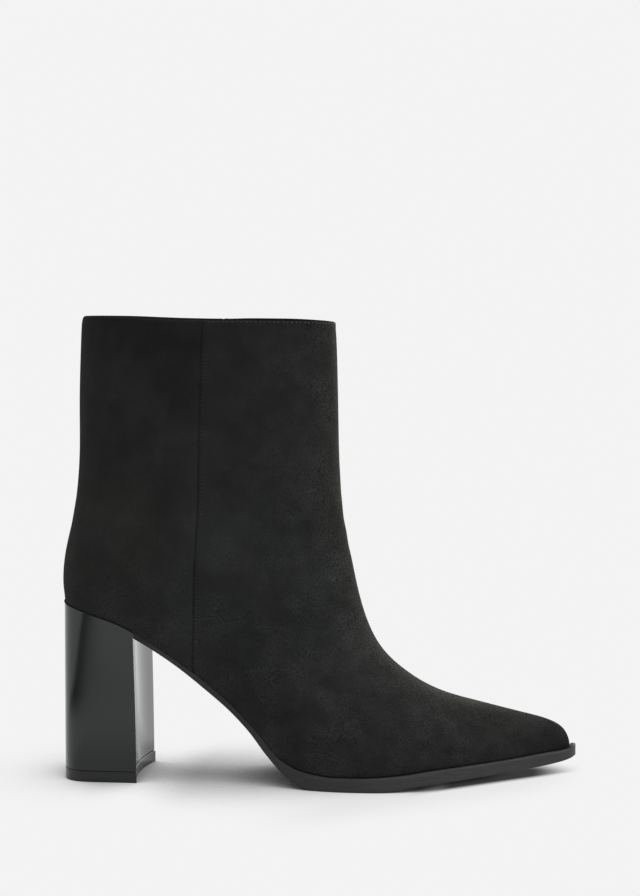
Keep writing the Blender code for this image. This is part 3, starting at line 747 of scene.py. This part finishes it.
def make_insole(material):
    """The insole: a flat section with a rounded, slightly raised edge along the feather line."""
    edges = moved_edges(lambda x: np.full_like(x, -INSOLE_INSET))
    back = edges[0][0, 0]
    along = np.concatenate([back + (INSOLE_ROUND - back) * np.linspace(0, 1, 16)[:-1] ** 2,
                            np.linspace(INSOLE_ROUND, INSOLE_TOE, 110)])[:, None]
    low_y, high_y = edges_at(edges, along)
    share, lift = INSOLE_PROFILE.T
    y = low_y + (high_y - low_y) * share
    x = np.repeat(along, len(share), 1)
    grid = np.stack([x, y, seat_height(x) + INSOLE_THICK * lift], -1)
    cap = np.repeat(grid[-1:].mean(1, keepdims=True), len(share), 1)
    piece = make_piece("insole_body", [np.concatenate([grid, cap])], material, around=True,
                       flip=True)
    return dress(piece, "sock_lining", "insole")


# Finishes

NOISE_LOW, NOISE_HIGH = 0.3, 0.7     # nearly all of a noise lies between these


def add(tree, kind, sockets=(), **settings):
    """A node with its settings; each socket takes a value or a link."""
    made = tree.nodes.new(kind)
    for key, value in settings.items():
        setattr(made, key, value)
    for key, value in dict(sockets).items():
        if isinstance(value, bpy.types.NodeSocket):
            tree.links.new(value, made.inputs[key])
        else:
            made.inputs[key].default_value = value
    return made


def join(kind, sockets, **settings):
    """A node in the tree of the links it takes in."""
    tree = next(value.id_data for value in sockets.values()
                if isinstance(value, bpy.types.NodeSocket))
    return add(tree, kind, sockets, **settings)


def feed(node, key, value):
    """Links a value into one of a node's sockets."""
    node.id_data.links.new(value, node.inputs[key])


def math(operation, first, second=0.0):
    return join("ShaderNodeMath", {0: first, 1: second}, operation=operation).outputs[0]


def plus(first, second):
    return math("ADD", first, second)


def times(first, *others):
    """The product of several values."""
    for other in others:
        first = math("MULTIPLY", first, other)
    return first


def varied(level, wave, amount):
    """level times one plus wave times amount."""
    return times(level, plus(1.0, times(wave, amount)))


def ramp(value, low, high, to_low=0.0, to_high=1.0):
    """value carried smoothly from low..high to to_low..to_high and held outside."""
    return join("ShaderNodeMapRange", {"Value": value, "From Min": low, "From Max": high,
                                       "To Min": to_low, "To Max": to_high},
                interpolation_type="SMOOTHSTEP").outputs["Result"]


def window(value, rise, fall):
    """One between two slopes: climbs over the range rise and drops over the range fall."""
    return times(ramp(value, *rise), ramp(value, *fall, 1.0, 0.0))


def mix(share, first, second):
    return join("ShaderNodeMix", {0: share, 6: first, 7: second}, data_type="RGBA").outputs[2]


def noise(place, size, detail=2.0, roughness=0.5):
    """Cloudy noise whose features are about size millimetres across."""
    return join("ShaderNodeTexNoise", {"Vector": place, "Scale": 1 / (size * MM),
                                       "Detail": detail, "Roughness": roughness}).outputs[0]


def clouds(place, size, low=0.0, high=1.0, detail=2.0):
    """Noise spread out from low to high."""
    return ramp(noise(place, size, detail), NOISE_LOW, NOISE_HIGH, low, high)


def stretched(place, scale):
    return join("ShaderNodeMapping", {"Vector": place, "Scale": scale}).outputs["Vector"]


def axis(place, name):
    """One coordinate of the maker's frame, in metres."""
    found = join("ShaderNodeSeparateXYZ", {0: place}).outputs[name]
    return math("SUBTRACT", found, SHIFT["XYZ".index(name)])


def new_group(name, inputs, outputs):
    """An empty node group with these named sockets: its tree, inputs and output node."""
    tree = bpy.data.node_groups.new(name, "ShaderNodeTree")
    for way, sockets in (("INPUT", inputs), ("OUTPUT", outputs)):
        for title, kind in sockets.items():
            tree.interface.new_socket(name=title, in_out=way, socket_type=kind)
    return tree, tree.nodes.new("NodeGroupInput").outputs, tree.nodes.new("NodeGroupOutput")


def new_finish(name, **shader_values):
    """A Principled material; returns it, its shader and its object coordinates."""
    material = bpy.data.materials.new(name)
    material.use_nodes = True
    tree = material.node_tree
    shader = tree.nodes["Principled BSDF"]
    for key, value in shader_values.items():
        shader.inputs[key.replace("_", " ")].default_value = value
    place = add(tree, "ShaderNodeTexCoord").outputs["Object"]
    return material, shader, place


def paint(shader, tint, level):
    """Base colour: a tint times a level."""
    colour = join("ShaderNodeVectorMath", {0: tint, "Scale": level}, operation="SCALE")
    feed(shader, "Base Color", colour.outputs[0])


def bump(shader, height, depth, strength):
    """Raises the surface by height times depth millimetres."""
    made = join("ShaderNodeBump", {"Height": height, "Strength": strength, "Distance": depth * MM})
    feed(shader, "Normal", made.outputs["Normal"])


# The nap's noises: name, size of their features, detail, range that is spread out.
NAP = (
    ("Patches", 30.0, 2.0, 0.34, 0.66),     # slow patches where it lies another way
    ("Mottle", 9.0, 3.0, 0.30, 0.70),
    ("Raised", 15.0, 3.0, 0.38, 0.62),
    ("Specks", 0.65, 2.0, 0.28, 0.72),
    ("Fibres", 0.4, 1.0, 0.2, 0.8),
)
NAP_ROUGHNESS = 0.6
# Places where the nap is brushed lighter or darker: middle x and z, reach, change of its level.
BRUSHED = (
    (139.0, 52.0, 34.0, 0.20),
    (82.0, 129.0, 32.0, 0.20),
    (43.0, 149.0, 30.0, -0.16),
    (24.0, 90.0, 28.0, -0.16),
    (199.0, 14.0, 34.0, -0.15),
)
# Levels of the black at the collar and low down, each behind and in front of the side seam.
COLLAR_LEVELS = (0.0136, 0.0163)
LOW_LEVELS = (0.0200, 0.0180)
SEAM_STEP = (-1.5, 3.0)              # distances from the seam over which they change
SEAM_TICK_PITCH = 1.8
COOL_SPOT = (100.0, 99.0, 62.0)      # middle x and z, reach
WARM_SPOT = (30.0, 122.0, 40.0)
NEUTRAL_BLACK = (1.0, 1.01, 1.012, 1.0)
COOL_BLACK = (0.935, 1.048, 1.03, 1.0)
WARM_BLACK = (1.0, 1.012, 0.942, 1.0)
FRONT_BLACK = (1.02, 1.02, 0.90, 1.0)


def nap_group():
    """Brushed nap: noises of several sizes, each between minus and plus a half."""
    tree, given, out = new_group("brushed nap", {"Place": "NodeSocketVector"},
                                 {row[0]: "NodeSocketFloat" for row in NAP})
    for title, size, detail, low, high in NAP:
        cloud = noise(given["Place"], size, detail, NAP_ROUGHNESS)
        feed(out, title, ramp(cloud, low, high, -0.5, 0.5))
    return tree


def spot(place, x, z, reach):
    """One at a place on both sides of the boot, fading out round it."""
    flat = stretched(place, (1, 0, 1))
    middle = (SHIFT[0] + x * MM, 0.0, z * MM)
    away = join("ShaderNodeVectorMath", {0: flat, 1: middle}, operation="DISTANCE")
    return ramp(away.outputs["Value"], 0.2 * reach * MM, reach * MM, 1.0, 0.0)


def painted_front_sheen(level, along, rim, front):
    """Painted sheen: the level raised along the ridge of the front, most at the collar and on the
    vamp and not on the toe, and lowered over the instep."""
    ridge = times(ramp(front, 1.0, 26.0, 1.0, 0.0), ramp(rim, 40.0, 130.0, 0.15, 0.22))
    top = ramp(rim, 0.0, 50.0, 0.9, 0.20)
    vamp = times(ramp(along, 0.155, 0.18, 0.0, 0.5), ramp(along, 0.198, 0.215, 1.0, 0.15))
    edge = times(ramp(front, 1.0, 11.0, 1.0, 0.0), plus(top, vamp))
    level = varied(level, plus(ridge, edge), ramp(along, 0.222, 0.240, 1.0, -0.1))
    instep = times(window(along, (0.136, 0.150), (0.174, 0.186)),
                   ramp(front, 3.0, 22.0, 1.0, 0.25))
    return varied(level, instep, -0.33)


def painted_seam_shade(level, place, seam, rim):
    """Painted shade in the seam's groove, fainter here and there, and in front of it ticks of
    painted light and shade where its stitches pull the suede into puckers.
    """
    line = ramp(math("ABSOLUTE", seam), 0.1, 1.0, -0.36, 0.0)
    shown = times(ramp(rim, 20.0, 100.0, 0.45, 1.0),
                  ramp(noise(place, 7.0), 0.35, 0.65, 0.55, 1.0))
    level = varied(level, line, shown)
    ticks = math("SINE", times(rim, 2 * np.pi / SEAM_TICK_PITCH))
    ticks = times(ticks, window(seam, (0.3, 0.9), (1.6, 2.8)), ramp(noise(place, 9.0), 0.4, 0.6))
    return varied(level, ticks, 0.30)


def suede_tint(place, along, seam, front):
    """A neutral tint with cool clouds in the middle, warm ones behind the seam and a warm front."""
    cloud = ramp(noise(place, 22.0), 0.38, 0.58, 0.3, 1.0)
    cool = times(cloud, spot(place, *COOL_SPOT))
    warm = times(cloud, spot(place, *WARM_SPOT), ramp(seam, -4.0, 0.0, 1.0, 0.0))
    ahead = times(ramp(front, 2.0, 26.0, 0.7, 0.0), ramp(along, 0.212, 0.235, 1.0, 0.1))
    tint = NEUTRAL_BLACK
    for share, colour in ((cool, COOL_BLACK), (warm, WARM_BLACK), (ahead, FRONT_BLACK)):
        tint = mix(share, tint, colour)
    return tint


def suede_finish(nap):
    """Black suede: lighter and more speckled towards the front, with a painted sheen along its
    ridge;
    painted shade in the seam's groove; darker at the top of the back panel; painted bounce light
    low down and a painted shadow line just above the sole; ticked along the seam with painted light
    and shade where its stitches pucker; faint warm and cool patches."""
    material, shader, place = new_finish(
        "black_suede", Roughness=0.92, Specular_IOR_Level=0.06, Sheen_Weight=0.015,
        Sheen_Roughness=0.5, Sheen_Tint=(0.95, 0.92, 0.82, 1.0))
    nap_at = join("ShaderNodeGroup", {"Place": place}, node_tree=nap).outputs
    seam, rim, feather, front = [
        add(material.node_tree, "ShaderNodeAttribute", attribute_name=key).outputs["Fac"]
        for key in ("seam", "rim", "feather", "front")]
    along = axis(place, "X")
    level = ramp(rim, 0.0, 95.0, ramp(seam, *SEAM_STEP, *COLLAR_LEVELS),
                 ramp(seam, *SEAM_STEP, *LOW_LEVELS))
    level = varied(level, nap_at["Patches"], 0.28)
    for x, z, reach, change in BRUSHED:
        level = varied(level, spot(place, x, z, reach), change)
    level = varied(level, nap_at["Mottle"], ramp(seam, 0.0, 70.0, 0.16, 0.34))
    raised = plus(times(nap_at["Raised"], 0.7), 0.6)
    raised = plus(raised, ramp(front, 10.0, 26.0, 0.7, 0.0))
    specks = times(raised, ramp(along, 0.20, 0.235, 1.0, 0.4),
                   ramp(front, 10.0, 60.0, 1.1, ramp(rim, 80.0, 165.0, 0.34, 1.0)))
    level = varied(level, nap_at["Specks"], specks)
    level = painted_front_sheen(level, along, rim, front)
    for value, *limits in ((along, 0.195, 0.246, 1.0, 0.64),      # darker at the toe
                           (rim, 0.2, 1.3, 0.6, 1.0),             # dark collar edge
                           (feather, 0.3, 28.0, 1.22, 1.0),       # painted bounce light from the floor, low down
                           (feather, 0.2, 1.0, 0.4, 1.0)):        # painted shadow line at the joint with the sole
        level = times(level, ramp(value, *limits))
    level = painted_seam_shade(level, place, seam, rim)
    paint(shader, suede_tint(place, along, seam, front), level)
    height = plus(times(nap_at["Specks"], 0.5), times(nap_at["Fibres"], 0.5))
    bump(shader, height, 0.25, 0.6)
    return material


def heel_finish():
    """Polished black lacquer with a faint waviness and patches of slightly duller polish, darker
    towards its foot by painted shade."""
    material, shader, place = new_finish("heel_lacquer", Roughness=0.10, Specular_IOR_Level=0.54,
                                         Specular_Tint=(0.95, 1.0, 0.985, 1.0))
    feed(shader, "Roughness", clouds(place, 14.0, 0.07, 0.12, 3.0))
    # painted shade: the colour darkens towards the heel's foot, in place of the dimmer reflection of
    # the shaded floor near the boot
    level = times(ramp(axis(place, "Z"), 0.005, 0.085, 0.0025, 0.0125),
                  clouds(place, 30.0, 0.92, 1.08))
    paint(shader, (0.92, 1.05, 1.03), level)
    bump(shader, noise(place, 22.0, 1.0), 0.12, 0.5)
    return material


def sole_finish():
    """Dark grey sole rubber, its trimmed edge faintly streaked along its length, darker along the
    waist and, by painted shade, darkest where it runs in under the heel, with a lighter stretch
    between."""
    material, shader, place = new_finish("sole_dark_grey", Roughness=0.5, Specular_IOR_Level=0.15)
    streak = noise(stretched(place, (0.12, 0.12, 1.6)), 1.2, 3.0, 0.6)
    grain = noise(place, 0.7, 3.0, 0.6)
    along = axis(place, "X")
    # darker along the waist, and darkest by painted shade close under the heel's breast
    level = times(ramp(streak, NOISE_LOW, NOISE_HIGH, 0.0345, 0.0455),
                  ramp(along, 0.060, 0.175, 0.60, 1.0),
                  ramp(along, 0.039, 0.050, 0.68, 1.0))
    level = varied(level, window(along, (0.041, 0.055), (0.064, 0.085)), 0.27)
    paint(shader, (1.0, 1.01, 1.0), level)
    feed(shader, "Roughness", clouds(place, 9.0, 0.44, 0.58))
    bump(shader, plus(streak, times(grain, 0.5)), 0.05, 0.5)
    return material


def top_piece_finish():
    """Hard black rubber with a fine moulded grain."""
    material, shader, place = new_finish("top_piece_black", Roughness=0.25, Specular_IOR_Level=0.4)
    grain = noise(place, 0.8, 3.0, 0.6)
    feed(shader, "Base Color", mix(noise(place, 6.0), (0.006, 0.0064, 0.0064, 1),
                                   (0.009, 0.0096, 0.0096, 1)))
    feed(shader, "Roughness", ramp(grain, NOISE_LOW, NOISE_HIGH, 0.14, 0.24))
    bump(shader, grain, 0.03, 0.4)
    return material


def lining_finish():
    """Dark lining leather with fine pores."""
    material, shader, place = new_finish("lining_leather", Roughness=0.62)
    pores = join("ShaderNodeTexVoronoi", {"Vector": place, "Scale": 1 / (1.1 * MM)}).outputs[0]
    feed(shader, "Base Color", mix(clouds(place, 12.0, detail=3.0), (0.016, 0.015, 0.014, 1),
                                   (0.026, 0.024, 0.022, 1)))
    bump(shader, ramp(pores, 0.0, 0.5), 0.10, 0.5)
    return material


def thread_finish():
    """Waxed black thread, ribbed across and sunk into the nap here and there."""
    material, shader, place = new_finish("black_thread", Roughness=0.5)
    ply = noise(place, 0.3, 1.0)
    clear = ramp(noise(place, 6.0), 0.42, 0.60)
    level = times(ramp(ply, NOISE_LOW, NOISE_HIGH, 0.5, 1.0), ramp(clear, 0.0, 1.0, 0.012, 0.033))
    paint(shader, (1.0, 1.0, 0.98), level)
    bump(shader, ply, 0.06, 0.6)
    return material


# Stage

CAMERA_AT = (239.0, -994.0, 237.0)
CAMERA_YAW = np.radians(6.42)
CAMERA_TILT = np.radians(4.31)
CAMERA_FOCUS = 2068.0 / 896.0        # focal length over the picture's height
SENSOR = 36.0
BACKDROP = 0.896
FLOOR_HALF = 40.0
FLOOR_LEVEL = -5e-5
SHEET_LEVEL = 4e-4
# Lines on the floor that bound the toe's shade: slope across the boot per length, distance.
OUTER_LINE = (-0.742, 0.1625)
INNER_LINE = (0.24, 0.0)
# Shades under the toe: where they begin beyond the outer line and end beyond the inner one, where
# they begin and end along the boot, and the change of the floor's level.
TOE_SHADES = (
    ((-0.0035, 0.0050), (0.080, 0.102), (0.171, 0.193), (0.230, 0.258), -0.945),
    ((0.002, 0.017), (0.080, 0.102), (0.172, 0.187), (0.203, 0.225), -0.72),     # deepest
    ((-0.050, 0.002), (0.0786, 0.12), (0.10, 0.15), (0.225, 0.262), -0.11),      # faint and wide
)
# Glowing sheets on the floor that only polish shows, painted reflections for the heel, left of the
#  heel and in front of it: corners in metres.
REFLECTION_SHEETS = (
    ((-0.80, -0.80), (0.10, -0.80), (0.10, -0.03), (-0.04, -0.03), (-0.04, 0.30), (-0.80, 0.30)),
    ((0.0435, -0.03), (0.10, -0.03), (0.10, 0.05), (0.60, 0.05), (0.60, 0.80), (0.0435, 0.80)),
)
# Broad suns: name, direction towards them, strength, spread in degrees, colour.
SUNS = (
    ("key", (0.64, -0.16, 0.75), 2.8, 40, (1.0, 0.99, 0.97)),
    ("fill", (-0.85, -0.35, 0.40), 0.7, 60, (1.0, 1.0, 1.0)),
    ("rear", (0.30, 0.90, 0.35), 1.2, 40, (1.0, 1.0, 0.98)),
)


def facing(back, at=(0.0, 0.0, 0.0)):
    """A place whose z axis points back and whose x axis is level."""
    back = unit(np.array(back))
    right = unit(np.cross((0, 0, 1), back))
    place = np.eye(4)
    place[:3] = np.stack([right, np.cross(back, right), back, at], 1)
    return Matrix(place.tolist())


def make_camera():
    """The camera at the photograph's place, turned by its yaw and tilt."""
    data = bpy.data.cameras.new("camera")
    data.sensor_width = SENSOR
    data.lens = CAMERA_FOCUS * SENSOR
    data.clip_start = 0.05
    level = np.cos(CAMERA_TILT)
    back = (np.sin(CAMERA_YAW) * level, -np.cos(CAMERA_YAW) * level, np.sin(CAMERA_TILT))
    camera = show("camera", data)
    camera.matrix_world = facing(back, np.array(CAMERA_AT) * MM + SHIFT)
    bpy.context.scene.camera = camera


def new_stage_piece(name, polygons, material):
    """A flat stage piece from the corners of its polygons in metres."""
    corners = [corner for polygon in polygons for corner in polygon]
    starts = np.cumsum([0] + [len(polygon) for polygon in polygons])
    mesh = bpy.data.meshes.new(name)
    mesh.from_pydata(corners, [], [tuple(range(a, b)) for a, b in zip(starts[:-1], starts[1:])])
    mesh.materials.append(material)
    piece = show(name, mesh)
    return piece


def glowing(name):
    """A material that only glows, its glow and its object coordinates."""
    material = bpy.data.materials.new(name)
    material.use_nodes = True
    tree = material.node_tree
    tree.nodes.clear()
    glow = add(tree, "ShaderNodeEmission")
    add(tree, "ShaderNodeOutputMaterial", {"Surface": glow.outputs[0]})
    return material, glow, add(tree, "ShaderNodeTexCoord").outputs["Object"]


def make_floor():
    """A wide pale floor that glows, with a soft shade close under the boot, lighter just in front
    of the heel. Under the toe the shades lie between two straight lines, and fall back and
    inward."""
    material, glow, place = glowing("pale_floor")
    along, across = axis(place, "X"), axis(place, "Y")
    reach = ramp(along, 0.13, 0.19, 0.078, 0.045)
    lean = join("ShaderNodeCombineXYZ", {1: ramp(along, 0.09, 0.17, 0.0, -0.6), 2: 1.0})
    lean = join("ShaderNodeVectorMath", {0: lean.outputs[0]}, operation="NORMALIZE")
    near = join("ShaderNodeAmbientOcclusion", {"Distance": reach, "Normal": lean.outputs[0]},
                samples=12).outputs["AO"]
    for lighter in (times(ramp(along, 0.02, 0.045),
                          ramp(along, 0.042, 0.070, 0.15, 0.0)),
                    ramp(along, 0.175, 0.205)):
        near = plus(near, lighter)
    shade = ramp(near, 0.17, 0.95, 0.014, BACKDROP)
    outer, inner = [plus(plus(across, times(along, slope)), distance)
                    for slope, distance in (OUTER_LINE, INNER_LINE)]
    for begins, ends, rise, fall, change in TOE_SHADES:
        band = times(ramp(outer, *begins), ramp(inner, *ends, 1.0, 0.0), window(along, rise, fall))
        shade = varied(shade, band, change)
    lights = add(material.node_tree, "ShaderNodeLightPath").outputs["Is Diffuse Ray"]
    feed(glow, "Strength", varied(shade, lights, -0.35))
    corners = [(x * FLOOR_HALF, y * FLOOR_HALF, FLOOR_LEVEL)
               for x, y in ((-1, -1), (1, -1), (1, 1), (-1, 1))]
    new_stage_piece("floor", [corners], material)


def make_reflection_sheets():
    """Glowing sheets on the floor that only polish shows, painted reflections for the heel: white
    with a soft dark stripe, steeper on its left, that starts to the left of the heel and runs
    forward and outward, a little darker close in front of the heel and brighter further in."""
    material, glow, place = glowing("painted_reflection_sheet")
    x = plus(axis(place, "X"), 0.190)
    y = plus(axis(place, "Y"), 0.089)
    off = math("SUBTRACT", times(x, 0.90), times(y, 0.43))
    heel_at = tuple(SHIFT + (0.008, -0.022, 0.0))
    away = join("ShaderNodeVectorMath", {0: place, 1: heel_at}, operation="DISTANCE")
    stripe = times(window(off, (-0.10, -0.01), (0.0, 0.28)),
                   ramp(away.outputs["Value"], 0.12, 0.24),
                   ramp(y, 0.08, 0.13, 1.0, 0.0))
    front = times(ramp(x, 0.13, 0.17), ramp(y, -0.066, 0.039), ramp(x, 0.232, 0.234, 1.0, 0.5))
    inward = times(ramp(y, 0.12, 0.16), ramp(x, 0.234, 0.265))
    level = BACKDROP
    for wave, change in ((stripe, -0.82), (front, -0.24), (inward, 0.75)):
        level = varied(level, wave, change)
    feed(glow, "Strength", level)
    polygons = [[(x + SHIFT[0], y + SHIFT[1], SHEET_LEVEL) for x, y in sheet] for sheet in REFLECTION_SHEETS]
    sheet = new_stage_piece("painted_reflection_sheet", polygons, material)
    sheet.visible_camera = sheet.visible_diffuse = sheet.visible_shadow = False


def make_light():
    """An even surround, white to the camera and grey as a light, and broad soft suns: from the
    upper right, from the left and from behind."""
    world = bpy.data.worlds.new("studio")
    bpy.context.scene.world = world
    world.use_nodes = True
    tree = world.node_tree
    tree.nodes.clear()
    seen, lit = [add(tree, "ShaderNodeBackground", {"Color": (level, level, level, 1)})
                 for level in (BACKDROP, 0.5)]
    path = add(tree, "ShaderNodeLightPath")
    both = add(tree, "ShaderNodeMixShader", {0: path.outputs["Is Camera Ray"],
                                             1: lit.outputs[0], 2: seen.outputs[0]})
    add(tree, "ShaderNodeOutputWorld", {"Surface": both.outputs[0]})
    for name, towards, strength, spread, colour in SUNS:
        data = bpy.data.lights.new(name, "SUN")
        data.energy = strength
        data.color = colour
        data.angle = np.radians(spread)
        show(name, data).matrix_world = facing(towards)


make_camera()
make_floor()
make_reflection_sheets()
make_light()
suede = suede_finish(nap_group())
lining_leather = lining_finish()
sole_grey = sole_finish()
make_front_panel(suede)
make_back_panel(suede)
make_lining(lining_leather)
make_collar_stitches(thread_finish())
make_outsole(sole_grey)
make_heel_block(heel_finish())
make_heel_edge(suede)
make_top_piece(top_piece_finish())
make_insole(lining_leather)

bpy.context.scene.view_settings.view_transform = "Standard"
bpy.context.view_layer.update()
